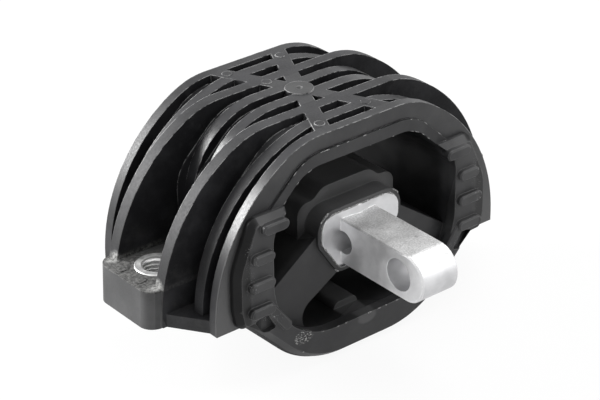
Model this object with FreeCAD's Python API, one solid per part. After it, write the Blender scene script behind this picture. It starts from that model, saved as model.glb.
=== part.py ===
"""Engine mount: a ribbed plastic housing with a rubber bush, a cast aluminium core whose
tongue reaches out in front, and two threaded steel inserts in the feet.

Frame: millimetres, +X to the right seen from the front, +Y to the back, +Z up.  The origin is
the middle of the mounting plane: half way between the two inserts, on the underside of the
feet, in the middle of the housing's depth.  The tongue points to -Y.
"""
import FreeCAD, Part
import math
import os

V = FreeCAD.Vector

# ---------------------------------------------------------------- driving dimensions (mm)
# housing: the tunnel that holds the bush
TUNNEL_TOP_Z = 60.5
TUNNEL_BOTTOM_Z = -25.5
TUNNEL_HALF_WIDTH = 47.0
TUNNEL_TOP_CHAMFER = (20.0, 19.0)      # width and height of the sloping top corners
TUNNEL_BOTTOM_CHAMFER = 20.1           # the lower corners slope at 45 degrees
TUNNEL_WALL = 3.0
HALF_DEPTH = 35.6                      # middle to the outer face of an end plate

# housing: end plates, ribs and the web that ties them at the top
TOP_Z = 67.0
PLATE_THICKNESS = 4.2
RIB_THICKNESS = 5.1
RIB_PITCH = 9.9
FLANK_BASE_Z = 4.0                     # height where the flanks turn upright
PLATE_HALF_WIDTH = 69.0
PLATE_SHOULDER_RADIUS = 34.0
PLATE_FLAT = 18.0                      # half width of the flat top
OUTER_RIB_FLAT = 12.0
FOOT_RIB_SHOULDER_RADIUS = 36.0
FOOT_RIB_FLAT = 28.0
INNER_RIB_FLAT = 17.0
WEB_WIDTH = 6.5
WEB_SLOPE = 0.47                       # sideways run of a diagonal for each mm of depth
GATE_RADIUS = 5.6
GATE_HEIGHT = 0.4
GATE_DIMPLE_RADIUS = 1.2
GATE_DIMPLE_DEPTH = 0.9
PIN_MARK_RADIUS = 2.0
PIN_MARK_HEIGHT = 0.25

# threaded inserts
INSERT_SPACING = 139.4
INSERT_RADIUS = 8.5
INSERT_PROUD = 1.5
THREAD_BORE_RADIUS = 5.1               # M12 x 1.75 tapping size
INSERT_CHAMFER = 0.8

# housing: base shelf and feet
SHELF_HEIGHT = 5.5
FOOT_HEIGHT = 14.5
FOOT_MARGIN = 16.3                     # insert's axis to the foot's outer face
FOOT_HALF_WIDTH = INSERT_SPACING / 2 + FOOT_MARGIN
FOOT_HALF_DEPTH = 17.0
FOOT_DRAFT = 2.0                       # how far the outer face leans in from bottom to top
FOOT_CORNER_RADIUS = 6.0
SHELF_SETBACK = 7.4                    # where the shelf's sloping edge meets the foot's side
FOOT_RIB_SETBACK = 6.0                 # the tall ribs stop short of the foot's outer face
FOOT_RIB_HALF_WIDTH = FOOT_HALF_WIDTH - FOOT_RIB_SETBACK
FOOT_PIN_SETBACK = 5.2

# bush: the ring inside the tunnel, and its lip and ears on the front plate
OPENING_TOP_Z = 55.5
OPENING_BOTTOM_Z = -16.8
OPENING_HALF_WIDTH = 45.2
OPENING_TOP_CHAMFER = (18.5, 18.0)
OPENING_BOTTOM_RADIUS = 30.0
RING_PROUD = 0.9                       # the ring's end stands in front of the front plate
LIP_THICKNESS = 4.4
LIP_INSET = 0.8
LIP_RISE = 2.2                         # the lip's inner edge stands above the floor behind it
LIP_CHAMFER = (2.6, 2.2)               # across the face and down the edge
EAR_TOP_Z = 44.8
EAR_TOP_OVERLAP = 7.0                  # how far the ears lie over the front plate
EAR_OVERLAP = 15.3
EAR_TOP_HALF_WIDTH = TUNNEL_HALF_WIDTH + EAR_TOP_OVERLAP
EAR_HALF_WIDTH = TUNNEL_HALF_WIDTH + EAR_OVERLAP
EAR_WIDEST_Z = 17.0
EAR_FOOT_STEP = 5.0                    # the ear's foot beside the 45 degree edge of the lip
TOOTH_TOP_Z = 40.6                     # middle of the highest tooth
TOOTH_PITCH = 11.1
TOOTH_WIDTH = 4.4
TOOTH_PROUD = 2.4
TOOTH_TIP_GAPS = (-3.0, 0.6, 0.6, 0.6) # free face beside the opening; the top tooth overhangs
TOOTH_ROOT_GAP = 4.6                   # free face at the ear's outer edge
TOOTH_CHAMFER = 0.6
CORNER_TOOTH_LENGTH = 18.0
CORNER_TOOTH_ANGLE = 53.0              # degrees below level
CORNER_POCKET_DEPTH = 2.6              # hollow between the lowest teeth and the lip

# bush: legs, rim round the core, and the stops
LEG_HALF_DEPTH = 34.0
LEG_SLOPE = 35.5                       # degrees
LEG_TOP = (24.2, 21.2)                 # a point on the upper edge of a leg (x, z)
WINDOW_ROUND = 7.5                     # rounded ends of the lower window
WINDOW_SLOPE = 31.3                    # degrees, lower edge of a leg
RIM_THICKNESS = 1.7
RIM_SETBACK = 0.7
STOP_HALF_DEPTH = 27.4
STOP_HALF_WIDTH = 23.8
STOP_SHOULDER_Z = 35.5
STOP_TOP_Z = 39.6
REBOUND_HALF_WIDTH = 5.0
REBOUND_HEIGHT = 2.8
REBOUND_HALF_DEPTH = 27.0

# core: the house-shaped body and its tongue
CORE_TOP_Z = 31.8
CORE_BOTTOM_Z = 7.5
CORE_HALF_WIDTH = 18.8
CORE_FOOT_HALF_WIDTH = 10.0
CORE_WAIST_Z = 20.8
CORE_FRONT = 36.2                      # flange face, in front of the middle
TONGUE_Z = 18.5
TONGUE_WIDTH = 17.6
TONGUE_HEIGHT = 19.2
TONGUE_REACH = 81.3
CROSS_HOLE_RADIUS = 6.5
CROSS_HOLE_REACH = 67.7
ROOT_HOLE_RADIUS = 4.8
ROOT_HOLE_SHOWING = 1.7                # its axis lies this far in front of the flange's hollow
TONGUE_CHAMFER = 0.6
FLANGE_HOLLOW_DEPTH = 1.4


# ---------------------------------------------------------------- profiles and solids
def rounded_wire(corners, place):
    """Closed wire through (u, v, radius) corners; place(u, v) gives each point in space."""
    count = len(corners)
    edges, previous_end = [], None
    stations = []
    for i, (u, v, radius) in enumerate(corners):
        before, after = corners[i - 1], corners[(i + 1) % count]
        here = V(u, v, 0)
        back = (V(before[0], before[1], 0) - here).normalize()
        ahead = (V(after[0], after[1], 0) - here).normalize()
        half = back.getAngle(ahead) / 2
        reach = radius / math.tan(half)
        start, end = here + back * reach, here + ahead * reach
        middle = here + (back + ahead).normalize() * (radius / math.sin(half) - radius)
        stations.append((start, middle, end, radius > 0))
    for i, (start, middle, end, is_round) in enumerate(stations):
        previous_end = stations[i - 1][2]
        if previous_end.distanceToPoint(start) > 1e-6:
            edges.append(Part.makeLine(place(previous_end.x, previous_end.y), place(start.x, start.y)))
        if is_round:
            points = [place(p.x, p.y) for p in (start, middle, end)]
            edges.append(Part.Arc(*points).toShape())
    return Part.Wire(edges)


def both_sides(right_half):
    """Mirror the right-hand corners, listed from top to bottom, to close the left-hand side."""
    return right_half + [(-u, v, radius) for u, v, radius in reversed(right_half)]


def along_y(corners, y_from, y_to):
    """Solid with a profile in the XZ plane, from y_from to y_to."""
    wire = rounded_wire(corners, lambda u, v: V(u, y_from, v))
    return Part.Face(wire).extrude(V(0, y_to - y_from, 0))


def along_z(corners, z_from, z_to):
    """Solid with a profile in the XY plane, from z_from to z_to."""
    wire = rounded_wire(corners, lambda u, v: V(u, v, z_from))
    return Part.Face(wire).extrude(V(0, 0, z_to - z_from))


def mirrored_x(shape):
    return shape.mirror(V(0, 0, 0), V(1, 0, 0))


def fused(shapes):
    return shapes[0].multiFuse(shapes[1:]).removeSplitter()


def tunnel_corners(offset=0.0):
    """Right-hand corners of the tunnel, moved outwards by offset, every side parallel."""
    run, rise = TUNNEL_TOP_CHAMFER
    slope = math.atan2(rise, run)
    top = TUNNEL_TOP_Z + offset
    side = TUNNEL_HALF_WIDTH + offset
    bottom = TUNNEL_BOTTOM_Z - offset
    top_shift = offset * math.tan(slope / 2)
    side_shift = offset * math.tan((math.pi / 2 - slope) / 2)
    corner_shift = offset * math.tan(math.pi / 8)
    return [
        (TUNNEL_HALF_WIDTH - run + top_shift, top, 20.0 + offset),
        (side, TUNNEL_TOP_Z - rise + side_shift, 14.0 + offset),
        (side, TUNNEL_BOTTOM_Z + TUNNEL_BOTTOM_CHAMFER - corner_shift, 8.0 + offset),
        (TUNNEL_HALF_WIDTH - TUNNEL_BOTTOM_CHAMFER + corner_shift, bottom, 38.0 + offset),
    ]


def opening_corners(bottom_z=OPENING_BOTTOM_Z):
    """Right-hand corners of the bush's opening."""
    run, rise = OPENING_TOP_CHAMFER
    return [
        (OPENING_HALF_WIDTH - run, OPENING_TOP_Z, 18.0),
        (OPENING_HALF_WIDTH, OPENING_TOP_Z - rise, 14.0),
        (OPENING_HALF_WIDTH, bottom_z, OPENING_BOTTOM_RADIUS),
    ]


def core_corners(offset=0.0):
    """Right-hand corners of the house-shaped core, moved outwards by offset."""
    lean = math.atan2(CORE_HALF_WIDTH - CORE_FOOT_HALF_WIDTH, CORE_WAIST_Z - CORE_BOTTOM_Z)
    waist_shift = offset * math.tan(lean / 2)
    foot_shift = offset * math.tan((math.pi / 2 - lean) / 2)
    return [
        (CORE_HALF_WIDTH + offset, CORE_TOP_Z + offset, 6.5 + offset),
        (CORE_HALF_WIDTH + offset, CORE_WAIST_Z - waist_shift, 5.0 + offset),
        (CORE_FOOT_HALF_WIDTH + foot_shift, CORE_BOTTOM_Z - offset, 3.0 + offset),
    ]


# ---------------------------------------------------------------- housing
def arch(half_width, flat, shoulder_radius, y_from, y_to):
    """Rib or plate: flat top, a shoulder arc and a longer flank arc that ends upright."""
    run = half_width - flat
    drop = TOP_Z - shoulder_radius - FLANK_BASE_Z
    flank_radius = (run ** 2 + drop ** 2 - shoulder_radius ** 2) / (2 * (run - shoulder_radius))
    shoulder = V(flat, 0, TOP_Z - shoulder_radius)
    flank = V(half_width - flank_radius, 0, FLANK_BASE_Z)
    outward = (shoulder - flank).normalize()
    turn = math.atan2(outward.z, outward.x)

    def on(centre, radius, angle, side):
        x = centre.x + radius * math.cos(angle)
        return V(side * x, y_from, centre.z + radius * math.sin(angle))

    edges = []
    for side in (1, -1):
        top = on(shoulder, shoulder_radius, math.pi / 2, side)
        meet = on(flank, flank_radius, turn, side)
        base = on(flank, flank_radius, 0, side)
        foot = V(side * half_width, y_from, 0)
        edges.append(Part.Arc(top, on(shoulder, shoulder_radius, (turn + math.pi / 2) / 2, side),
                              meet).toShape())
        edges.append(Part.Arc(meet, on(flank, flank_radius, turn / 2, side), base).toShape())
        edges.append(Part.makeLine(base, foot))
    edges.append(Part.makeLine(V(-flat, y_from, TOP_Z), V(flat, y_from, TOP_Z)))
    edges.append(Part.makeLine(V(-half_width, y_from, 0), V(half_width, y_from, 0)))
    wire = Part.Wire(Part.__sortEdges__(edges))
    return Part.Face(wire).extrude(V(0, y_to - y_from, 0))


def inner_rib(y_from, y_to):
    """Low rib that dies into the tunnel wall above the bolt pocket."""
    side = TUNNEL_HALF_WIDTH + TUNNEL_WALL
    radius = side - INNER_RIB_FLAT
    return along_y(both_sides([(side, TOP_Z, radius), (side, 0, 0)]), y_from, y_to)


def ribs():
    """Two end plates and six ribs, alike in front and behind."""
    half = RIB_THICKNESS / 2
    shapes = []
    for side in (-1, 1):
        plate = sorted((side * HALF_DEPTH, side * (HALF_DEPTH - PLATE_THICKNESS)))
        shapes.append(arch(PLATE_HALF_WIDTH, PLATE_FLAT, PLATE_SHOULDER_RADIUS, *plate))
        outer = side * RIB_PITCH * 2.5
        shapes.append(arch(PLATE_HALF_WIDTH, OUTER_RIB_FLAT, PLATE_SHOULDER_RADIUS,
                           outer - half, outer + half))
        tall = side * RIB_PITCH * 1.5
        shapes.append(arch(FOOT_RIB_HALF_WIDTH, FOOT_RIB_FLAT, FOOT_RIB_SHOULDER_RADIUS,
                           tall - half, tall + half))
        low = side * RIB_PITCH * 0.5
        shapes.append(inner_rib(low - half, low + half))
    return shapes


def belly():
    """Lower part of the tunnel wall, spreading at 45 degrees to the underside of the shelf."""
    side, corner = tunnel_corners(TUNNEL_WALL)[2:]
    spread = side[0] - side[1]
    return along_y(both_sides([(spread, 0, 0), corner]), -HALF_DEPTH, HALF_DEPTH)


def base():
    """Shelf between the end plates and the two feet, which lean in a little towards the top."""
    inner = TUNNEL_HALF_WIDTH
    reach = FOOT_HALF_WIDTH - SHELF_SETBACK
    shapes = []
    end = HALF_DEPTH - PLATE_THICKNESS
    for side in (-1, 1):
        shelf = [(side * x, y, 0) for x, y in (
            (inner, -end), (PLATE_HALF_WIDTH, -end), (reach, -FOOT_HALF_DEPTH),
            (reach, FOOT_HALF_DEPTH), (PLATE_HALF_WIDTH, end), (inner, end))]
        shapes.append(along_z(shelf, 0, SHELF_HEIGHT))
        section = [(side * x, z, 0) for x, z in (
            (inner, 0), (FOOT_HALF_WIDTH, 0), (FOOT_HALF_WIDTH - FOOT_DRAFT, FOOT_HEIGHT),
            (inner, FOOT_HEIGHT))]
        foot = along_y(section, -FOOT_HALF_DEPTH, FOOT_HALF_DEPTH)
        corners = [edge for edge in foot.Edges if edge.BoundBox.ZLength > FOOT_HEIGHT - 0.01
                   and abs(edge.CenterOfMass.x) > FOOT_HALF_WIDTH - FOOT_DRAFT - 0.01]
        shapes.append(foot.makeFillet(FOOT_CORNER_RADIUS, corners))
        for y in (-FOOT_HALF_DEPTH / 3, FOOT_HALF_DEPTH / 3):
            centre = V(side * (FOOT_HALF_WIDTH - FOOT_PIN_SETBACK), y, SHELF_HEIGHT)
            height = FOOT_HEIGHT + PIN_MARK_HEIGHT - SHELF_HEIGHT
            shapes.append(Part.makeCylinder(PIN_MARK_RADIUS, height, centre))
    return shapes


def top_web():
    """Two crossing diagonals flush with the flat tops, the gate boss and the pin marks."""
    floor = TUNNEL_TOP_Z + TUNNEL_WALL / 2
    end = HALF_DEPTH - PLATE_THICKNESS
    half = WEB_WIDTH / 2 * math.hypot(1, WEB_SLOPE)
    shapes = []
    for side in (-1, 1):
        run = side * WEB_SLOPE * end
        band = [(-run - half, -end, 0), (-run + half, -end, 0), (run + half, end, 0), (run - half, end, 0)]
        shapes.append(along_z(band, floor, TOP_Z))
    shapes.append(Part.makeCylinder(GATE_RADIUS, TOP_Z + GATE_HEIGHT - floor, V(0, 0, floor)))
    for side, y in ((-1, 12.6), (1, 28.0), (-1, 28.0), (-1, -28.0), (1, -25.0)):
        centre = V(side * WEB_SLOPE * abs(y), y, floor)
        shapes.append(Part.makeCylinder(PIN_MARK_RADIUS, TOP_Z + PIN_MARK_HEIGHT - floor, centre))
    return shapes


def housing():
    wall = along_y(both_sides(tunnel_corners(TUNNEL_WALL)), -HALF_DEPTH, HALF_DEPTH)
    body = fused([wall, belly()] + ribs() + base() + top_web())
    bore = along_y(both_sides(tunnel_corners()), -HALF_DEPTH - 1, HALF_DEPTH + 1)
    gate_top = TOP_Z + GATE_HEIGHT
    cuts = [bore, Part.makeCone(0.3, GATE_DIMPLE_RADIUS, GATE_DIMPLE_DEPTH,
                                V(0, 0, gate_top - GATE_DIMPLE_DEPTH))]
    for side in (-1, 1):
        centre = V(side * INSERT_SPACING / 2, 0, -1)
        cuts.append(Part.makeCylinder(INSERT_RADIUS, FOOT_HEIGHT + 2, centre))
    return body.cut(cuts).removeSplitter()


# ---------------------------------------------------------------- threaded inserts
def threaded_insert(side):
    height = FOOT_HEIGHT + INSERT_PROUD
    centre = V(side * INSERT_SPACING / 2, 0, 0)
    body = Part.makeCylinder(INSERT_RADIUS, height, centre)
    top_edge = [edge for edge in body.Edges
                if len(edge.Vertexes) == 1 and edge.CenterOfMass.z > height - 0.1]
    body = body.makeChamfer(INSERT_CHAMFER, top_edge)
    body = body.cut(Part.makeCylinder(THREAD_BORE_RADIUS, height, centre))
    mouth = Part.makeCone(THREAD_BORE_RADIUS, THREAD_BORE_RADIUS + INSERT_CHAMFER, INSERT_CHAMFER,
                          centre + V(0, 0, height - INSERT_CHAMFER))
    return body.cut(mouth)


# ---------------------------------------------------------------- core
def tongue():
    """Flat bar with a full-round end, a cross hole near the end and half a hole at the root."""
    radius = TONGUE_HEIGHT / 2
    low, high = TONGUE_Z - radius, TONGUE_Z + radius
    root_y = -CORE_FRONT + FLANGE_HOLLOW_DEPTH
    corners = [(root_y + 2, high, 0), (-TONGUE_REACH, high, radius - 0.01),
               (-TONGUE_REACH, low, radius - 0.01), (root_y + 2, low, 0)]
    wire = rounded_wire(corners, lambda u, v: V(-TONGUE_WIDTH / 2, u, v))
    bar = Part.Face(wire).extrude(V(TONGUE_WIDTH, 0, 0))
    rims = [edge for edge in bar.Edges
            if edge.BoundBox.XLength < 0.01 and edge.BoundBox.YMin < -CORE_FRONT]
    bar = bar.makeChamfer(TONGUE_CHAMFER, rims)
    hole = Part.makeCylinder(CROSS_HOLE_RADIUS, TONGUE_WIDTH + 2,
                             V(-TONGUE_WIDTH / 2 - 1, -CROSS_HOLE_REACH, TONGUE_Z), V(1, 0, 0))
    root_hole = Part.makeCylinder(ROOT_HOLE_RADIUS, TONGUE_WIDTH + 2,
                                  V(-TONGUE_WIDTH / 2 - 1, root_y - ROOT_HOLE_SHOWING, TONGUE_Z),
                                  V(1, 0, 0))
    behind = Part.makeBox(TONGUE_WIDTH + 4, CORE_FRONT, TONGUE_HEIGHT,
                          V(-TONGUE_WIDTH / 2 - 2, root_y, TONGUE_Z - radius))
    return bar.cut([hole, root_hole.cut(behind)])


def core():
    body = along_y(both_sides(core_corners()), -CORE_FRONT, HALF_DEPTH)
    hollows = []
    hollow_width = CORE_HALF_WIDTH - TONGUE_WIDTH / 2
    hollow_radius = (hollow_width ** 2 + FLANGE_HOLLOW_DEPTH ** 2) / (2 * FLANGE_HOLLOW_DEPTH)
    for side in (-1, 1):
        axis = V(side * TONGUE_WIDTH / 2, -CORE_FRONT - hollow_radius + FLANGE_HOLLOW_DEPTH, 0)
        scoop = Part.makeCylinder(hollow_radius, CORE_TOP_Z + 10, axis)
        hollows.append(scoop)
    return fused([body.cut(hollows), tongue()])


# ---------------------------------------------------------------- rubber bush
def lip():
    """Front lip below and ears at the sides, lying on the front plate."""
    front = -HALF_DEPTH - LIP_THICKNESS
    wall_side, wall_corner = tunnel_corners(TUNNEL_WALL - LIP_INSET)[2:]
    edge_at_zero = wall_side[0] - wall_side[1]
    outline = [
        (EAR_TOP_HALF_WIDTH, EAR_TOP_Z, 4.0),
        (EAR_HALF_WIDTH, EAR_WIDEST_Z + 8, 20.0),
        (EAR_HALF_WIDTH, EAR_WIDEST_Z - 8, 10.0),
        (edge_at_zero + EAR_FOOT_STEP, 0.4, 4.0),
        (edge_at_zero - 0.4, 0.4, 0.0),
        wall_corner,
    ]
    solid = along_y(both_sides(outline), -HALF_DEPTH, front)
    rims = [edge for edge in solid.Edges
            if edge.BoundBox.YLength < 0.01 and abs(edge.BoundBox.YMin - front) < 0.01
            and edge.BoundBox.ZMin < EAR_TOP_Z - 0.5]
    return solid.makeChamfer(*LIP_CHAMFER, rims)


def tooth(start, end, front):
    """Round-ended bar from start to end, (x, z) each, with a softened face."""
    half = TOOTH_WIDTH / 2
    ahead = V(end[0] - start[0], 0, end[1] - start[1]).normalize()
    across = V(-ahead.z, 0, ahead.x)
    outline = []
    for point, along, shift in ((start, -1, -1), (end, 1, -1), (end, 1, 1), (start, -1, 1)):
        corner = V(point[0], 0, point[1]) + ahead * along * half + across * shift * half
        outline.append((corner.x, corner.z, half - 0.01))
    bar = along_y(outline, front, -HALF_DEPTH - LIP_THICKNESS / 2)
    rims = [edge for edge in bar.Edges if edge.BoundBox.YMax < front + 0.01]
    return bar.makeChamfer(TOOTH_CHAMFER, rims)


def edge_of_opening(z):
    """How far the opening reaches sideways at height z, on its straight side or top slope."""
    run, rise = OPENING_TOP_CHAMFER
    return OPENING_HALF_WIDTH - max(0.0, z - (OPENING_TOP_Z - rise)) * run / rise


def edge_of_ear(z):
    """How far the ear reaches sideways at height z."""
    top = EAR_WIDEST_Z + 8
    lean = (EAR_HALF_WIDTH - EAR_TOP_HALF_WIDTH) / (EAR_TOP_Z - top)
    return EAR_HALF_WIDTH - max(0.0, z - top) * lean


def teeth():
    """A column of level teeth on each ear, and a slanting one at each lower corner."""
    front = -HALF_DEPTH - LIP_THICKNESS - TOOTH_PROUD
    half = TOOTH_WIDTH / 2
    shapes = []
    for row, tip_gap in enumerate(TOOTH_TIP_GAPS):
        z = TOOTH_TOP_Z - row * TOOTH_PITCH
        tip = (edge_of_opening(z) + tip_gap + half, z)
        root = (edge_of_ear(z) - TOOTH_ROOT_GAP - half, z)
        shapes.append(tooth(root, tip, front))
    turn = math.radians(CORNER_TOOTH_ANGLE)
    reach = CORNER_TOOTH_LENGTH - TOOTH_WIDTH
    low_tip = (tip[0] - reach * math.cos(turn), tip[1] - reach * math.sin(turn))
    shapes.append(tooth(tip, low_tip, front + TOOTH_PROUD / 2))
    return shapes + [mirrored_x(shape) for shape in shapes]


def corner_pockets():
    """Hollows beside the corner teeth, below the lowest level tooth."""
    front = -HALF_DEPTH - LIP_THICKNESS
    z = TOOTH_TOP_Z - (len(TOOTH_TIP_GAPS) - 1) * TOOTH_PITCH - TOOTH_WIDTH / 2
    shapes = []
    for side in (-1, 1):
        pocket = [(side * x, v, 0.8) for x, v in (
            (OPENING_HALF_WIDTH + 3.5, z - 0.8), (OPENING_HALF_WIDTH + 9.5, z - 2.2),
            (OPENING_HALF_WIDTH + 4.5, z - 9.0), (OPENING_HALF_WIDTH - 0.8, z - 8.0))]
        shapes.append(along_y(pocket, front - 1, front + CORNER_POCKET_DEPTH))
    return shapes


def legs():
    """Block between the core and the ring: everything under the legs' upper edges and
    outside the lower window."""
    drop = math.tan(math.radians(LEG_SLOPE))
    apex_z = LEG_TOP[1] + LEG_TOP[0] * drop
    side = TUNNEL_HALF_WIDTH - 1
    bottom = OPENING_BOTTOM_Z - 2
    block = along_y(both_sides([(CORE_HALF_WIDTH - 4, apex_z - (CORE_HALF_WIDTH - 4) * drop, 0),
                                (side, apex_z - side * drop, 0), (side, bottom, 0)]),
                    -LEG_HALF_DEPTH, LEG_HALF_DEPTH)
    rise = math.tan(math.radians(WINDOW_SLOPE))
    ceiling = CORE_BOTTOM_Z - RIM_THICKNESS
    corner = CORE_FOOT_HALF_WIDTH + (ceiling - OPENING_BOTTOM_Z) / rise
    window = along_y(both_sides([(CORE_FOOT_HALF_WIDTH - 1, ceiling, 2.0),
                                 (corner, OPENING_BOTTOM_Z, WINDOW_ROUND)]),
                     -LEG_HALF_DEPTH - 1, LEG_HALF_DEPTH + 1)
    ring = along_y(both_sides(tunnel_corners()), -LEG_HALF_DEPTH, LEG_HALF_DEPTH)
    return block.cut(window).common(ring)


def bump_stop():
    """Buffer on top of the core: square shoulders and a round hump in the middle."""
    hump = STOP_TOP_Z - STOP_SHOULDER_Z
    outline = [(13.0, STOP_TOP_Z, 7.0), (15.5, STOP_SHOULDER_Z, hump),
               (STOP_HALF_WIDTH, STOP_SHOULDER_Z, 5.0), (STOP_HALF_WIDTH, CORE_WAIST_Z, 0)]
    return along_y(both_sides(outline), -STOP_HALF_DEPTH, STOP_HALF_DEPTH)


def rebound_stop():
    """Low pad on the floor of the lower window."""
    outline = [(REBOUND_HALF_WIDTH, OPENING_BOTTOM_Z + REBOUND_HEIGHT, REBOUND_HEIGHT * 0.9),
               (REBOUND_HALF_WIDTH + 1.5, OPENING_BOTTOM_Z - 1, 0)]
    return along_y(both_sides(outline), -REBOUND_HALF_DEPTH, REBOUND_HALF_DEPTH)


def rubber_bush():
    ring = along_y(both_sides(tunnel_corners()), -HALF_DEPTH - RING_PROUD, HALF_DEPTH)
    front = -HALF_DEPTH - LIP_THICKNESS
    opening = along_y(both_sides(opening_corners()), -HALF_DEPTH, HALF_DEPTH + 1)
    mouth = along_y(both_sides(opening_corners(OPENING_BOTTOM_Z + LIP_RISE)), front - 1, -HALF_DEPTH)
    above_ears = Part.makeBox(4 * EAR_HALF_WIDTH, LIP_THICKNESS + 2, 2 * TOP_Z,
                              V(-2 * EAR_HALF_WIDTH, front - 2 + 0.001, EAR_TOP_Z - 0.001))
    shell = fused([ring, lip().cut(above_ears)]).cut([opening, mouth] + corner_pockets())
    rim = along_y(both_sides(core_corners(RIM_THICKNESS)), -CORE_FRONT + RIM_SETBACK,
                  HALF_DEPTH - RIM_SETBACK)
    inside = [legs(), rim, bump_stop(), rebound_stop()] + teeth()
    core_hole = along_y(both_sides(core_corners()), -CORE_FRONT - 1, HALF_DEPTH + 1)
    return fused([shell] + inside).cut(core_hole).removeSplitter()


# ---------------------------------------------------------------- export
def main():
    os.makedirs("parts", exist_ok=True)
    nodes = {
        "housing": housing(),
        "rubber_bush": rubber_bush(),
        "core": core(),
        "threaded_insert_left": threaded_insert(-1),
        "threaded_insert_right": threaded_insert(1),
    }
    for name, shape in nodes.items():
        shape.exportStep("parts/" + name + ".step")
        print(name, "solids", len(shape.Solids), "valid", shape.isValid(),
              "volume", round(shape.Volume / 1000, 2), "cm3")


main()
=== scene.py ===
"""Looks of the engine mount: finishes, fine moulding details, stage, light and camera around
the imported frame.  Everything is in metres, in the frame of the CAD model."""
import math

import bmesh
import bpy
from mathutils import Matrix, Vector, noise


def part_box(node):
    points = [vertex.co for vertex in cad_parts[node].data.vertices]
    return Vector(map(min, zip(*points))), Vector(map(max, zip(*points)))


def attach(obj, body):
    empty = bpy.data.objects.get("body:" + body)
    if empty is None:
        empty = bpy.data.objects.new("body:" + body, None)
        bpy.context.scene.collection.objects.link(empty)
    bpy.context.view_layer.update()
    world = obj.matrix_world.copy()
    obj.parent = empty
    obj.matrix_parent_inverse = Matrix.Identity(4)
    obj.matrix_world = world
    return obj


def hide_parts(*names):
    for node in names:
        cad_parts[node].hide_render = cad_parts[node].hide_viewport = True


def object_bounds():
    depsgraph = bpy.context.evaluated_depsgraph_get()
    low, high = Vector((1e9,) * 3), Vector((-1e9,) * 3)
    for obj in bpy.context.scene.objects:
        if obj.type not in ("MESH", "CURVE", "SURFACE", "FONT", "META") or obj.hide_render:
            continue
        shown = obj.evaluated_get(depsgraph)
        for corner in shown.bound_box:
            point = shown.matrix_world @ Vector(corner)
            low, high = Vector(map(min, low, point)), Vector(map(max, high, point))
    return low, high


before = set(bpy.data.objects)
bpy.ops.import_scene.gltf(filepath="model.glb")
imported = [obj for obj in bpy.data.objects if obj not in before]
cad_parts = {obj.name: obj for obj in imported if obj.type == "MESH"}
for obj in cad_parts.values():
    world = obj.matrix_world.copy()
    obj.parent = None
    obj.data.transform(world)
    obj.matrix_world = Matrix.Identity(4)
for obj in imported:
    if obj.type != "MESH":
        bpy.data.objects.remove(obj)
CAD_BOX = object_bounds()

MM = 0.001
EDGE_ANGLE = math.radians(32)                  # a wider turn between two faces is a sharp edge
WELD = 0.002 * MM                              # points closer than this are one point
HIT = 0.02 * MM                                # a point this near to a level lies on it

# places on the part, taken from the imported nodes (metres)
FRONT_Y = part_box("housing")[0][1]              # outer face of the front plate
FOOT_EDGE_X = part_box("housing")[1][0]
GATE_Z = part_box("housing")[1][2]
INSERT_TOP_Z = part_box("threaded_insert_left")[1][2]
CORE_HALF_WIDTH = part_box("core")[1][0]
CORE_TOP_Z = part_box("core")[1][2]
LIP_Y = FRONT_Y - 4.4 * MM                     # face of the bush's lip and ears
RING_Y = FRONT_Y - 0.9 * MM                    # seam of the ring inside the lip
CAD_FOOT_TOP_Z = INSERT_TOP_Z - 1.5 * MM       # the feet's tops as packed
FOOT_TOP_Z = INSERT_TOP_Z - 0.3 * MM           # and as shown, nearly level with the inserts
FOOT_LEAN = 1.3 * MM                           # taken out of the draft of the feet's outer faces
FOOT_INNER_X = 52 * MM
FOOT_HALF_DEPTH = 17.0 * MM
PIN_REACH_Y = 12 * MM                          # the pin marks lie between the tall ribs
PIN_PROUD = 1.0 * MM
SHELF_TOP_Z = 8 * MM
TONGUE_HALF_WIDTH = 8.8 * MM
TONGUE_TOP_Z = CORE_TOP_Z - 3.7 * MM

BORDER_STEP = 2.2 * MM                         # depth of the lip's border as packed
BORDER_DROP = 3.4 * MM                         # and as shown
BORDER_RUN = 1.2 * MM                          # the border's gain in width

THREAD_PITCH = 1.75 * MM
THREAD_MINOR = 5.1 * MM
THREAD_DEPTH = 0.85 * MM
THREAD_MOUTH = 0.8 * MM
THREAD_SIDES = 72
THREAD_ROWS = 70
COLLAR_ROUND = 0.35 * MM

SURROUND = 0.40                                # strength of the even light on the part
FLOOR_GLOW = 0.92                              # the rest of the floor's white takes the shadow
CAMERA_ANGLES = (-38.89, 28.64, -0.71)         # round, up and roll, in degrees
CAMERA_DISTANCE = 0.8692
CAMERA_ASIDE = 0.435 * MM                      # to the left of the line to the origin
CAMERA_RAISE = 16.28 * MM                      # and above it
CAMERA_LENS = 132.0

FLASH_STEP = 0.3 * MM
FLASH_SIDES = 5
FLASH_SHARP = math.radians(25)


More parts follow.
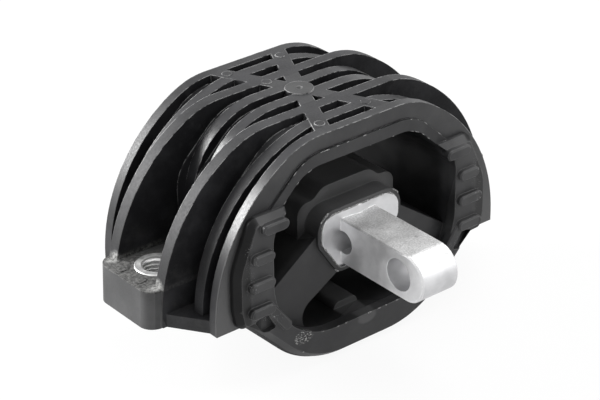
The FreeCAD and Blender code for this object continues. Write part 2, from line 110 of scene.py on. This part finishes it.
# ---------------------------------------------------------------- shader building
class Shader:
    """Short names for building one node material around its Principled BSDF."""

    def __init__(self, name, edge_radius):
        self.material = bpy.data.materials.new(name)
        self.material.use_nodes = True
        self.tree = self.material.node_tree
        self.bsdf = self.tree.nodes["Principled BSDF"]
        self.place = self.add("ShaderNodeTexCoord").outputs["Object"]
        split = self.add("ShaderNodeSeparateXYZ")
        self.link(self.place, split.inputs["Vector"])
        self.x, self.y, self.z = (split.outputs[key] for key in "XYZ")
        bevel = self.add("ShaderNodeBevel", samples=6)
        bevel.inputs["Radius"].default_value = edge_radius
        self.rounded = bevel.outputs["Normal"]
        self.normal = self.rounded

    def add(self, kind, **settings):
        node = self.tree.nodes.new(kind)
        for key, value in settings.items():
            setattr(node, key, value)
        return node

    def link(self, source, target):
        self.tree.links.new(source, target)

    def put(self, socket, value):
        """Set a socket to a number or colour, or link another socket to it."""
        if isinstance(value, (int, float)):
            socket.default_value = value
        elif isinstance(value, tuple):
            socket.default_value = (*value, 1.0)
        else:
            self.link(value, socket)

    def noise(self, scale, detail=4.0, roughness=0.55, stretch=(1.0, 1.0, 1.0), shift=0.0):
        """Noise of about 1/scale metres, 0..1 around a half."""
        mapping = self.add("ShaderNodeMapping")
        mapping.inputs["Scale"].default_value = stretch
        mapping.inputs["Location"].default_value = (shift, shift, shift)
        self.link(self.place, mapping.inputs["Vector"])
        node = self.add("ShaderNodeTexNoise")
        node.inputs["Scale"].default_value = scale
        node.inputs["Detail"].default_value = detail
        node.inputs["Roughness"].default_value = roughness
        self.link(mapping.outputs["Vector"], node.inputs["Vector"])
        return node.outputs["Fac"]

    def ramp(self, value, low, high, low_to=0.0, high_to=1.0):
        """Carry low..high over to low_to..high_to, smooth at both ends; low may exceed high."""
        node = self.add("ShaderNodeMapRange", interpolation_type="SMOOTHSTEP")
        numbers = {"From Min": low, "From Max": high, "To Min": low_to, "To Max": high_to}
        for key, number in numbers.items():
            node.inputs[key].default_value = number
        self.link(value, node.inputs["Value"])
        return node.outputs["Result"]

    def math(self, operation, first, second=0.0):
        node = self.add("ShaderNodeMath", operation=operation)
        self.put(node.inputs[0], first)
        self.put(node.inputs[1], second)
        return node.outputs["Value"]

    def both(self, *masks):
        """Product of masks."""
        result = masks[0]
        for mask in masks[1:]:
            result = self.math("MULTIPLY", result, mask)
        return result

    def near(self, centre, size, soft=0.4):
        """Mask of an ellipsoid, fading out over the share soft of its size."""
        mapping = self.add("ShaderNodeMapping")
        mapping.inputs["Scale"].default_value = [1 / s for s in size]
        mapping.inputs["Location"].default_value = [-c / s for c, s in zip(centre, size)]
        self.link(self.place, mapping.inputs["Vector"])
        length = self.add("ShaderNodeVectorMath", operation="LENGTH")
        self.link(mapping.outputs["Vector"], length.inputs[0])
        return self.ramp(length.outputs["Value"], 1.0, 1.0 - soft)

    def mirrored(self, centre, size, soft=0.4):
        """The same mask on both sides of the part."""
        other = (-centre[0], centre[1], centre[2])
        return self.math("MAXIMUM", self.near(centre, size, soft), self.near(other, size, soft))

    def edge_highlight(self):
        """Mask of the edges: where the rounded normal leaves the face's own. It carries painted
        highlights along the edges.
        """
        geometry = self.add("ShaderNodeNewGeometry")
        dot = self.add("ShaderNodeVectorMath", operation="DOT_PRODUCT")
        self.link(geometry.outputs["Normal"], dot.inputs[0])
        self.link(self.rounded, dot.inputs[1])
        return self.ramp(dot.outputs["Value"], 0.985, 0.93)

    def corners(self, centre, size, soft=0.4):
        """The same mask at all four places that mirror each other."""
        behind = (centre[0], -centre[1], centre[2])
        return self.math("MAXIMUM", self.mirrored(centre, size, soft),
                         self.mirrored(behind, size, soft))

    def shades(self, value, low, high, dark, light):
        """Greys from dark to light as value goes from low to high; three numbers each."""
        return self.blend(self.ramp(value, low, high), dark, light)

    def blend(self, mask, first, second):
        """Colour first where the mask is 0 and second where it is 1."""
        node = self.add("ShaderNodeMix", data_type="RGBA")
        self.put(node.inputs[0], mask)
        colours = [socket for socket in node.inputs if socket.type == "RGBA"]
        self.put(colours[0], first)
        self.put(colours[1], second)
        return [socket for socket in node.outputs if socket.type == "RGBA"][0]

    def mixed(self, mask, first, second):
        """Number first where the mask is 0 and second where it is 1."""
        node = self.add("ShaderNodeMix", data_type="FLOAT")
        self.put(node.inputs[0], mask)
        self.put(node.inputs[2], first)
        self.put(node.inputs[3], second)
        return node.outputs[0]

    def bump(self, height, distance):
        """Add a relief of the given depth to the surface."""
        node = self.add("ShaderNodeBump")
        node.inputs["Distance"].default_value = distance
        self.link(height, node.inputs["Height"])
        self.link(self.normal, node.inputs["Normal"])
        self.normal = node.outputs["Normal"]

    def finish(self, base, roughness, metallic=0.0, ior=1.5):
        """Fill the shader's main sockets and hand the material over."""
        self.put(self.bsdf.inputs["Base Color"], base)
        self.put(self.bsdf.inputs["Roughness"], roughness)
        self.put(self.bsdf.inputs["Metallic"], metallic)
        self.put(self.bsdf.inputs["IOR"], ior)
        self.link(self.normal, self.bsdf.inputs["Normal"])
        return self.material


# ---------------------------------------------------------------- materials
def plastic_material(recess=False):
    """Glass-filled polyamide: near black and satin, with flow clouds and scuffed feet."""
    s = Shader("plastic_recess_shade" if recess else "plastic", 0.5 * MM)
    side_x = s.math("ABSOLUTE", s.x)
    side_y = s.math("ABSOLUTE", s.y)
    cloud = s.noise(55, 5, 0.62)
    streak = s.noise(300, 4, 0.6, stretch=(1.0, 0.25, 1.0))
    mottle = s.ramp(s.noise(190, 6, 0.68, shift=5.0), 0.44, 0.66)
    base = s.shades(cloud, 0.38, 0.68, (0.009, 0.009, 0.010), (0.022, 0.022, 0.024))
    top = s.ramp(s.z, 40 * MM, 60 * MM)
    base = s.blend(s.both(mottle, top, s.ramp(streak, 0.38, 0.58)), base, (0.020, 0.020, 0.021))
    # painted light: the front plate's outer face is painted lighter for the light that falls on it
    # from the front
    face = s.ramp(s.y, FRONT_Y + 1.0 * MM, FRONT_Y + 0.3 * MM)
    base = s.blend(face, base, s.shades(cloud, 0.35, 0.7, (0.022, 0.022, 0.023),
                                        (0.036, 0.036, 0.037)))
    # painted light: lighter still towards the face's outer sides and lower down, for light from low
    # at the front left
    lit_flank_face = s.both(face, s.ramp(side_x, 40 * MM, 60 * MM), s.ramp(s.z, 55 * MM, 0.0))
    base = s.blend(lit_flank_face, base, (0.062, 0.062, 0.063))

    plates = s.ramp(side_y, -FRONT_Y - 5.5 * MM, -FRONT_Y - 4.0 * MM)
    grain = s.noise(1300, 4, 0.65, shift=8.0)
    rough = s.mixed(plates, s.ramp(grain, 0.3, 0.7, 0.54, 0.68),
                    s.ramp(grain, 0.3, 0.7, 0.30, 0.42))
    rough = s.mixed(s.ramp(s.y, 20 * MM, 30 * MM), rough, s.ramp(grain, 0.3, 0.7, 0.42, 0.56))
    rough = s.mixed(s.ramp(side_y, 12 * MM, 11 * MM), rough, s.ramp(grain, 0.3, 0.7, 0.30, 0.42))
    block = s.both(s.ramp(side_x, 52 * MM, 56 * MM), s.ramp(side_y, 17.4 * MM, 17.1 * MM),
                   s.ramp(s.z, FOOT_TOP_Z + 0.1 * MM, FOOT_TOP_Z - 0.6 * MM))
    base = s.blend(block, base, s.shades(cloud, 0.35, 0.7, (0.040, 0.040, 0.041),
                                         (0.060, 0.060, 0.061)))

    patches = s.ramp(s.noise(120, 6, 0.72, shift=3.0), 0.50, 0.66)
    low = s.ramp(s.z, 46 * MM, 8 * MM)
    dust = s.both(patches, low, s.ramp(s.y, FRONT_Y + 3 * MM, FRONT_Y + 5 * MM))
    base = s.blend(s.math("MULTIPLY", dust, 0.30), base, (0.040, 0.039, 0.037))

    level = s.both(s.ramp(s.z, FOOT_TOP_Z - 0.6 * MM, FOOT_TOP_Z - 0.1 * MM),
                   s.ramp(s.z, FOOT_TOP_Z + 2.5 * MM, FOOT_TOP_Z + 0.3 * MM))
    on_foot = s.both(level, s.ramp(side_x, FOOT_EDGE_X - 31 * MM, FOOT_EDGE_X - 24 * MM),
                     s.ramp(side_y, 17.6 * MM, 16.9 * MM))
    scuff = s.ramp(s.noise(700, 6, 0.75, shift=7.0), 0.36, 0.66)
    base = s.blend(on_foot, base, s.blend(scuff, (0.022, 0.022, 0.022), (0.125, 0.124, 0.120)))
    ends = s.corners((FOOT_EDGE_X - 5.5 * MM, -13.5 * MM, FOOT_TOP_Z + 1.2 * MM),
                     (4.4 * MM, 3.4 * MM, 3.2 * MM), 0.7)
    base = s.blend(s.both(ends, s.ramp(scuff, 0.0, 0.8, 0.25, 0.9)), base, (0.36, 0.36, 0.35))
    rough = s.mixed(s.math("MAXIMUM", on_foot, ends), rough, 0.62)
    gate = s.near((0, 0, GATE_Z), (5.6 * MM, 5.6 * MM, 1.6 * MM), 0.12)
    base = s.blend(s.both(gate, s.ramp(mottle, 0.0, 1.0, 0.55, 1.0)), base, (0.036, 0.036, 0.036))

    s.bump(s.noise(2200, 3, 0.6), 0.010 * MM)
    s.bump(streak, 0.015 * MM)
    s.bump(s.both(on_foot, scuff), 0.04 * MM)
    # painted highlight: thin light lines along the upper edges, where light from above catches them
    painted_edge_lines = s.both(s.edge_highlight(), s.ramp(streak, 0.40, 0.55), s.ramp(s.z, 20 * MM, 50 * MM))
    base = s.blend(painted_edge_lines, base, (0.30, 0.30, 0.30))
    # painted shade: the recess copy reflects less (lower IOR) than the plastic elsewhere
    return s.finish(base, rough, ior=1.20 if recess else 1.42)


def rubber_material(recess=False):
    """Moulded rubber: matte, a little bloom, torn flash and scuffs where it left the mould; painted
    shade inside the opening and on the ears' borders, painted highlights on the rebound pad and
    along the lip's edges.
    """
    s = Shader("rubber_recess_shade" if recess else "rubber", 0.55 * MM)
    side_x = s.math("ABSOLUTE", s.x)
    cloud = s.noise(70, 5, 0.6)
    base = s.shades(cloud, 0.35, 0.7, (0.014, 0.014, 0.015), (0.030, 0.030, 0.031))
    rough = s.ramp(cloud, 0.3, 0.7, 0.44, 0.60)
    # painted shade: the rubber darkens towards the inside of the opening
    painted_shade_inside = s.ramp(s.y, FRONT_Y + 2 * MM, FRONT_Y + 7 * MM)
    base = s.blend(s.math("MULTIPLY", painted_shade_inside, 0.7), base, (0.005, 0.005, 0.005))
    # lighter grey: bloom on the bump stop, and a painted highlight on the rebound pad
    bump_stop = s.near((0, FRONT_Y + 20 * MM, 30 * MM), (30 * MM, 30 * MM, 15 * MM), 0.3)
    rebound_pad = s.near((0, FRONT_Y + 10 * MM, -16 * MM), (6.6 * MM, 24 * MM, 4 * MM), 0.2)
    bloom_and_highlight = s.math("MAXIMUM", bump_stop, rebound_pad)
    base = s.blend(s.both(bloom_and_highlight, s.ramp(cloud, 0.3, 0.7, 0.7, 1.0)), base, (0.062, 0.062, 0.063))

    speck = s.ramp(s.noise(1500, 5, 0.75, shift=2.0), 0.59, 0.66)
    ears = s.both(s.ramp(side_x, 43 * MM, 48 * MM), s.ramp(s.y, FRONT_Y, FRONT_Y - 1 * MM))
    base = s.blend(ears, base, s.shades(cloud, 0.35, 0.7, (0.026, 0.026, 0.027),
                                        (0.044, 0.044, 0.045)))
    # painted shade: the ears' sloping borders and outer rims are painted near black
    painted_border_shade = s.both(s.ramp(s.y, LIP_Y + 0.15 * MM, LIP_Y + 0.5 * MM),
                    s.ramp(side_x, 50 * MM, 53 * MM))
    rim = s.both(s.ramp(side_x, 55.6 * MM, 56.6 * MM), s.ramp(s.z, 38 * MM, 34 * MM))
    painted_border_shade = s.math("MAXIMUM", painted_border_shade, rim)
    base = s.blend(s.math("MULTIPLY", painted_border_shade, 0.75), base, (0.005, 0.005, 0.005))
    face = s.ramp(s.y, LIP_Y + 1.4 * MM, LIP_Y + 0.4 * MM)
    roots = s.mirrored((-56 * MM, LIP_Y, 26 * MM), (3.0 * MM, 8 * MM, 20 * MM), 0.5)
    base = s.blend(s.both(speck, face, roots), base, (0.30, 0.30, 0.30))
    torn = s.ramp(s.noise(900, 5, 0.7, stretch=(1.0, 1.0, 2.2), shift=5.0), 0.52, 0.60)
    patch = s.near((-31.5 * MM, LIP_Y, -12.6 * MM), (5.2 * MM, 4 * MM, 3.2 * MM), 0.25)
    base = s.blend(s.both(torn, patch), base, (0.50, 0.50, 0.49))
    corner = s.mirrored((-45.6 * MM, LIP_Y, 1.0 * MM), (5 * MM, 6 * MM, 3.4 * MM), 0.5)
    base = s.blend(s.both(speck, corner), base, (0.36, 0.36, 0.36))

    s.bump(s.noise(1700, 3, 0.6), 0.02 * MM)
    s.bump(s.both(torn, patch), 0.10 * MM)
    # painted highlight: light lines along the edges of the lip's face
    painted_edge_lines = s.both(s.edge_highlight(), s.ramp(speck, 0.0, 1.0, 0.35, 1.0), face)
    base = s.blend(painted_edge_lines, base, (0.16, 0.16, 0.16))
    # painted shade: the recess copy reflects less (lower IOR) than the rubber elsewhere
    return s.finish(base, rough, ior=1.20 if recess else 1.40)


def flash_material():
    """Thin torn rubber at the mould's parting, painted lighter than the body as a highlight."""
    s = Shader("flash", 0.1 * MM)
    speck = s.noise(2400, 4, 0.7)
    # painted highlight: the flash's light grey specks
    base = s.shades(speck, 0.45, 0.60, (0.04, 0.04, 0.04), (0.42, 0.42, 0.42))
    s.bump(speck, 0.06 * MM)
    return s.finish(base, s.ramp(speck, 0.3, 0.7, 0.35, 0.6))


def aluminium_material():
    """Blasted casting: speckled on top, smoother on its sides, its end and its flange."""
    s = Shader("cast_aluminium", 0.35 * MM)
    geometry = s.add("ShaderNodeNewGeometry")
    facing = s.add("ShaderNodeSeparateXYZ")
    s.link(geometry.outputs["Normal"], facing.inputs["Vector"])
    upward = s.both(s.ramp(facing.outputs["Z"], 0.35, 0.75), s.ramp(s.z, 23 * MM, 24.5 * MM))
    side = s.math("SUBTRACT", 1.0, upward)
    painted_lit_flank = s.ramp(s.math("ABSOLUTE", facing.outputs["X"]), 0.6, 0.9)
    speck = s.noise(1500, 5, 0.72)
    grain = s.noise(650, 4, 0.65, shift=4.0)
    cloud = s.noise(110, 4, 0.6, shift=9.0)
    light = s.shades(speck, 0.42, 0.62, (0.48, 0.48, 0.48), (0.68, 0.68, 0.68))
    pits = s.both(s.ramp(grain, 0.60, 0.68), s.ramp(side, 0.0, 1.0, 1.0, 0.45))
    base = s.blend(s.math("MULTIPLY", pits, 0.6), light, (0.24, 0.24, 0.24))
    base = s.blend(side, base, s.shades(cloud, 0.3, 0.7, (0.54, 0.54, 0.55),
                                        (0.66, 0.66, 0.67)))
    # painted light: faces turned sideways are painted much lighter, for the light that falls on the
    # tongue's sides
    base = s.blend(painted_lit_flank, base, s.shades(cloud, 0.3, 0.7, (0.80, 0.80, 0.81),
                                         (0.92, 0.92, 0.93)))
    # painted highlight: near-white lines along the casting's edges
    base = s.blend(s.both(s.edge_highlight(), s.ramp(grain, 0.40, 0.60)), base, (0.97, 0.97, 0.97))
    back = s.ramp(s.y, -FRONT_Y - 2 * MM, -FRONT_Y - 1 * MM)
    base = s.blend(back, base, s.blend(grain, (0.16, 0.16, 0.16), (0.30, 0.30, 0.30)))
    rough = s.mixed(side, s.ramp(cloud, 0.3, 0.7, 0.44, 0.56), s.ramp(cloud, 0.3, 0.7, 0.46, 0.56))
    s.bump(grain, 0.03 * MM)
    s.bump(speck, 0.015 * MM)
    return s.finish(base, rough, metallic=0.9)


def steel_material():
    """Dull zinc plating on turned steel."""
    s = Shader("insert_steel", 0.2 * MM)
    cloud = s.noise(420, 4, 0.6)
    turned = s.noise(1500, 3, 0.6, shift=6.0)
    base = s.shades(cloud, 0.35, 0.7, (0.50, 0.50, 0.50), (0.68, 0.68, 0.67))
    s.bump(turned, 0.02 * MM)
    return s.finish(base, s.ramp(cloud, 0.3, 0.7, 0.42, 0.58), metallic=0.75)


# ---------------------------------------------------------------- pieces
def new_piece(name, bm, materials, slot, *nodes):
    """Turn a bmesh into a piece of the part; nodes are the CAD nodes that it stands for."""
    for face in bm.faces:
        face.smooth = True
    for edge in bm.edges:
        edge.smooth = edge.calc_face_angle(0.0) < EDGE_ANGLE
    mesh = bpy.data.meshes.new(name)
    bm.to_mesh(mesh)
    bm.free()
    if "custom_normal" in mesh.attributes:
        mesh.attributes.remove(mesh.attributes["custom_normal"])
    for material in materials:
        mesh.materials.append(material)
    piece = bpy.data.objects.new(name, mesh)
    bpy.context.scene.collection.objects.link(piece)
    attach(piece, "root")
    if nodes:
        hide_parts(*nodes)
    return piece


def shell_of(node):
    """The CAD node's surface as a bmesh, its faces joined along their shared edges."""
    bm = bmesh.new()
    bm.from_mesh(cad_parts[node].data)
    bmesh.ops.remove_doubles(bm, verts=bm.verts, dist=WELD)
    return bm


def dress_feet(bm):
    """Bring the tops of the feet up to the inserts' collars and stand their outer faces upright."""
    for vert in bm.verts:
        x, y, z = vert.co
        reach = PIN_PROUD if abs(y) < PIN_REACH_Y else HIT
        on_top = -HIT < z - CAD_FOOT_TOP_Z < reach
        if on_top and abs(x) > FOOT_INNER_X and abs(y) < FOOT_HALF_DEPTH + 0.1 * MM:
            vert.co.z = min(z + FOOT_TOP_Z - CAD_FOOT_TOP_Z, INSERT_TOP_Z)
            if abs(x) > FOOT_EDGE_X - 6 * MM:
                vert.co.x = math.copysign(min(abs(x) + FOOT_LEAN, FOOT_EDGE_X), x)


def in_housing_recess(face):
    """Sides of the ribs, the tunnel between them and the shelf, where no light polishes."""
    middle = face.calc_center_median()
    if middle.y < FRONT_Y + 1 * MM or middle.z < 2 * MM:
        return False
    on_foot = abs(abs(middle.y) - FOOT_HALF_DEPTH) < 0.2 * MM
    across = abs(face.normal.y) > 0.9 and middle.y < -FRONT_Y - 1 * MM and not on_foot
    shelf = face.normal.z > 0.9 and middle.z < SHELF_TOP_Z
    return across or shelf


def in_bush_recess(face):
    """Inside of the opening, and the sloping borders of the two ears."""
    middle = face.calc_center_median()
    if middle.y > FRONT_Y + 3 * MM and abs(face.normal.y) < 0.5:
        return middle.z > 41 * MM or abs(middle.x) > 24 * MM or middle.z < 4 * MM
    return LIP_Y + 0.4 * MM < middle.y < FRONT_Y and abs(middle.x) > 51 * MM


def widen_lip_border(bm):
    """Give the lip and ears a sloping border wider and deeper than the plain solid's."""
    inward, outer = [], set()
    for vert in bm.verts:
        if abs(vert.co.y - LIP_Y) > HIT:
            continue
        below = [edge.other_vert(vert) for edge in vert.link_edges]
        below = [v for v in below if abs(v.co.y - LIP_Y - BORDER_STEP) < HIT]
        if below:
            foot = min(below, key=lambda v: (v.co - vert.co).length)
            if (foot.co - vert.co).length < 4 * MM:
                away = vert.co - foot.co
                away.y = 0
                inward.append((vert, away.normalized() * BORDER_RUN))
                outer.add(foot)
    for vert, move in inward:
        vert.co += move
    for vert in outer:
        vert.co.y = LIP_Y + BORDER_DROP


def dressed(node, name, materials, slot, change=None, recess=None):
    """The node's own form with continuous shading, smooth over every tangent joint."""
    bm = shell_of(node)
    if change:
        change(bm)
    if recess:
        for face in bm.faces:
            face.material_index = int(recess(face))
    piece = new_piece(name, bm, materials, slot, node)
    even = piece.modifiers.new("even_shading", "WEIGHTED_NORMAL")
    even.keep_sharp = True
    return piece


def insert_profile(height, outer):
    """Rings of the insert from the bottom of its wall round the top to the thread's mouth."""
    return [(outer, 0.0), (outer, height - COLLAR_ROUND), (outer - COLLAR_ROUND, height),
            (THREAD_MINOR + THREAD_MOUTH, height)]


def threaded_insert(side, material):
    """Steel insert with the helical M12 thread cut into its bore."""
    name = "threaded_insert_" + side
    low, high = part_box(name)
    centre_x = (low[0] + high[0]) / 2
    outer = (high[0] - low[0]) / 2
    height = high[2] - low[2]
    bm = bmesh.new()
    rings = []

    def ring(radius_at, z):
        ring_verts = []
        for i in range(THREAD_SIDES):
            angle = 2 * math.pi * i / THREAD_SIDES
            radius = radius_at(angle)
            ring_verts.append(bm.verts.new((centre_x + radius * math.cos(angle),
                                            radius * math.sin(angle), low[2] + z)))
        rings.append(ring_verts)

    for radius, z in insert_profile(height, outer):
        ring(lambda angle, r=radius: r, z)
    for row in range(THREAD_ROWS + 1):
        z = (height - THREAD_MOUTH) * (1 - row / THREAD_ROWS)

        def thread(angle, z=z):
            phase = (z / THREAD_PITCH - angle / (2 * math.pi)) % 1.0
            tooth = min(1.0, max(0.0, 1.6 * (1 - abs(2 * phase - 1)) - 0.3))
            return THREAD_MINOR + THREAD_DEPTH * tooth
        ring(thread, z)
    for upper, lower in zip(rings, rings[1:] + rings[:1]):
        for i in range(THREAD_SIDES):
            j = (i + 1) % THREAD_SIDES
            bm.faces.new((upper[i], upper[j], lower[j], lower[i]))
    bmesh.ops.recalc_face_normals(bm, faces=bm.faces)
    return new_piece("insert_" + side, bm, [material], "insert_steel", name)


# ---------------------------------------------------------------- fine rubber flash
def edge_paths(node, keep):
    """Runs of points along the node's sharp edges whose both ends pass keep(point)."""
    bm = shell_of(node)
    links = {}
    for edge in bm.edges:
        if len(edge.link_faces) != 2 or edge.calc_face_angle(0.0) < FLASH_SHARP:
            continue
        ends = [tuple(vert.co) for vert in edge.verts]
        if all(keep(Vector(end)) for end in ends):
            links.setdefault(ends[0], []).append(ends[1])
            links.setdefault(ends[1], []).append(ends[0])
    bm.free()
    paths, seen = [], set()
    starts = sorted(links, key=lambda p: (len(links[p]) != 1, p))
    for start in starts:
        if start in seen:
            continue
        path, here = [start], start
        seen.add(start)
        while True:
            ahead = [p for p in sorted(links[here]) if p not in seen]
            if not ahead:
                break
            here = ahead[0]
            seen.add(here)
            path.append(here)
        if len(path) > 2:
            paths.append([Vector(p) for p in path])
    return paths


def resampled(path, step):
    """Points along a path, a step apart."""
    points, carried = [path[0]], 0.0
    for start, end in zip(path, path[1:]):
        length = (end - start).length
        at = step - carried
        while at < length:
            points.append(start.lerp(end, at / length))
            at += step
        carried = (carried + length) % step
    return points


def ragged_bead(bm, points, size, seed, gaps):
    """Thin uneven strip along the points, broken where its noise falls below gaps."""
    previous = None
    for i, point in enumerate(points):
        swell = 0.5 + 0.5 * noise.noise(Vector((point.x, point.z, seed)) * 420)
        if swell < gaps:
            previous = None
            continue
        ahead = (points[min(i + 1, len(points) - 1)] - points[max(i - 1, 0)]).normalized()
        across = ahead.cross(Vector((0, 1, 0))).normalized()
        radius = size * (0.45 + 0.9 * (swell - gaps))
        jitter = 0.25 * size * noise.noise(point * 1900)
        ring_verts = []
        for k in range(FLASH_SIDES):
            angle = 2 * math.pi * k / FLASH_SIDES
            offset = across * math.cos(angle) + Vector((0, 1, 0)) * math.sin(angle)
            ring_verts.append(bm.verts.new(point + offset * radius + across * jitter))
        if previous:
            for k in range(FLASH_SIDES):
                n = (k + 1) % FLASH_SIDES
                bm.faces.new((previous[k], previous[n], ring_verts[n], ring_verts[k]))
        previous = ring_verts


def flash_piece(name, keep, size, gaps, material, node="rubber_bush"):
    """Torn flash along the node's edges that pass keep."""
    bm = bmesh.new()
    for seed, path in enumerate(edge_paths(node, keep)):
        ragged_bead(bm, resampled(path, FLASH_STEP), size, seed * 3.7, gaps)
    bmesh.ops.recalc_face_normals(bm, faces=bm.faces)
    return new_piece(name, bm, [material], "rubber")


def flash_pieces(flash, rubber, metal):
    """Torn flash round the bush's seams, and a burr on the tongue's upper left edge."""
    def on_lip(p):
        return abs(p.y - LIP_Y) < 0.1 * MM and abs(p.x) < 40 * MM and -20 * MM < p.z < -8 * MM

    def round_core(p):
        return (p.y < FRONT_Y + 1.0 * MM and abs(p.x) < CORE_HALF_WIDTH + 0.3 * MM
                and 6 * MM < p.z < 33 * MM)

    def on_ring(p):
        return abs(p.y - RING_Y) < 0.1 * MM

    def round_ears(p):
        return abs(p.y - FRONT_Y) < 0.1 * MM and abs(p.x) > 47 * MM and p.z > 0

    burr = bmesh.new()
    root = Vector((-TONGUE_HALF_WIDTH, FRONT_Y - 1.0 * MM, TONGUE_TOP_Z))
    end = Vector((-TONGUE_HALF_WIDTH, FRONT_Y - 24.0 * MM, TONGUE_TOP_Z))
    ragged_bead(burr, resampled([root, end], FLASH_STEP), 0.22 * MM, 1.3, 0.42)
    new_piece("casting_burr", burr, [metal], "cast_aluminium")
    flash_piece("lip_flash", on_lip, 0.42 * MM, 0.56, flash)
    flash_piece("core_flash", round_core, 0.50 * MM, 0.34, flash)
    flash_piece("ring_flash", on_ring, 0.26 * MM, 0.60, flash)
    flash_piece("ear_flash", round_ears, 0.30 * MM, 0.30, rubber)


# ---------------------------------------------------------------- stage, light, camera
def seen_directly(tree):
    """1 for camera rays and for what metal or gloss mirrors, 0 for the light on the part."""
    path = tree.nodes.new("ShaderNodeLightPath")
    either = tree.nodes.new("ShaderNodeMath")
    either.operation = "MAXIMUM"
    tree.links.new(path.outputs["Is Camera Ray"], either.inputs[0])
    tree.links.new(path.outputs["Is Glossy Ray"], either.inputs[1])
    every = tree.nodes.new("ShaderNodeMath")
    every.operation = "MAXIMUM"
    tree.links.new(either.outputs["Value"], every.inputs[0])
    tree.links.new(path.outputs["Is Transmission Ray"], every.inputs[1])
    return every.outputs["Value"]


def white_stage():
    """Matte pale floor, seen as white with a faint shadow of the part left in it."""
    bpy.ops.mesh.primitive_plane_add(size=8.0, location=(0, 0, CAD_BOX[0][2] - 0.2 * MM))
    floor = bpy.context.object
    floor.name = "floor"
    material = bpy.data.materials.new("paper")
    material.use_nodes = True
    tree = material.node_tree
    tree.nodes.clear()
    output = tree.nodes.new("ShaderNodeOutputMaterial")
    mix = tree.nodes.new("ShaderNodeMixShader")
    share = tree.nodes.new("ShaderNodeMath")
    share.operation = "MULTIPLY"
    share.inputs[1].default_value = FLOOR_GLOW
    diffuse = tree.nodes.new("ShaderNodeBsdfDiffuse")
    diffuse.inputs["Color"].default_value = (0.8, 0.8, 0.8, 1)
    glow = tree.nodes.new("ShaderNodeEmission")
    tree.links.new(seen_directly(tree), share.inputs[0])
    tree.links.new(share.outputs["Value"], mix.inputs["Fac"])
    tree.links.new(diffuse.outputs["BSDF"], mix.inputs[1])
    tree.links.new(glow.outputs["Emission"], mix.inputs[2])
    tree.links.new(mix.outputs["Shader"], output.inputs["Surface"])
    floor.data.materials.append(material)


def studio_world():
    """Even soft surround on the part, seen and mirrored as plain white."""
    world = bpy.data.worlds.new("studio")
    bpy.context.scene.world = world
    world.use_nodes = True
    tree = world.node_tree
    tree.nodes.clear()
    output = tree.nodes.new("ShaderNodeOutputWorld")
    mix = tree.nodes.new("ShaderNodeMixShader")
    soft = tree.nodes.new("ShaderNodeBackground")
    soft.inputs["Color"].default_value = (1, 1, 1, 1)
    soft.inputs["Strength"].default_value = SURROUND
    white = tree.nodes.new("ShaderNodeBackground")
    white.inputs["Color"].default_value = (1, 1, 1, 1)
    tree.links.new(seen_directly(tree), mix.inputs["Fac"])
    tree.links.new(soft.outputs["Background"], mix.inputs[1])
    tree.links.new(white.outputs["Background"], mix.inputs[2])
    tree.links.new(mix.outputs["Shader"], output.inputs["Surface"])


def soft_box(name, place, aim, size, power):
    """Rectangular area light at a place, turned to its aim."""
    light = bpy.data.lights.new(name, "AREA")
    light.shape = "RECTANGLE"
    light.size, light.size_y = size
    light.energy = power
    lamp = bpy.data.objects.new(name, light)
    bpy.context.scene.collection.objects.link(lamp)
    lamp.location = place
    lamp.rotation_euler = (Vector(aim) - Vector(place)).to_track_quat("-Z", "Y").to_euler()


def lights():
    """A window of light behind the left shoulder, a broad one above, a weak one in front."""
    soft_box("left_window", (-0.70, 0.84, 0.50), (0, 0, 0.04), (0.42, 0.50), 28.0)
    soft_box("overhead", (0.35, -0.10, 1.05), (0, 0, 0.0), (1.0, 0.9), 11.0)
    soft_box("front_fill", (0.55, -0.95, 0.50), (0, 0, 0.0), (0.8, 0.5), 4.0)


def camera():
    """Three-quarter view from the front left and above."""
    azimuth, elevation, roll = (math.radians(angle) for angle in CAMERA_ANGLES)
    back = Vector((math.sin(azimuth) * math.cos(elevation),
                   -math.cos(azimuth) * math.cos(elevation), math.sin(elevation)))
    right = Vector((math.cos(azimuth), math.sin(azimuth), 0.0))
    up = back.cross(right)
    turned_right = right * math.cos(roll) + up * math.sin(roll)
    turned_up = up * math.cos(roll) - right * math.sin(roll)
    data = bpy.data.cameras.new("camera")
    data.lens = CAMERA_LENS
    data.sensor_width = 36.0
    data.clip_start = 0.01
    view = bpy.data.objects.new("camera", data)
    bpy.context.scene.collection.objects.link(view)
    place = back * CAMERA_DISTANCE - turned_right * CAMERA_ASIDE + turned_up * CAMERA_RAISE
    axes = Matrix((turned_right, turned_up, back)).transposed().to_4x4()
    view.matrix_world = Matrix.Translation(place) @ axes
    bpy.context.scene.camera = view


# ---------------------------------------------------------------- scene
def main():
    steel = steel_material()
    rubber = rubber_material()
    dressed("housing", "housing_shell", [plastic_material(), plastic_material(True)], "plastic",
            dress_feet, in_housing_recess)
    dressed("rubber_bush", "bush_rubber", [rubber, rubber_material(True)], "rubber",
            widen_lip_border, in_bush_recess)
    metal = aluminium_material()
    dressed("core", "core_casting", [metal], "cast_aluminium")
    threaded_insert("left", steel)
    threaded_insert("right", steel)
    flash_pieces(flash_material(), rubber, metal)
    white_stage()
    studio_world()
    lights()
    camera()
    bpy.context.scene.view_settings.view_transform = "Standard"


main()
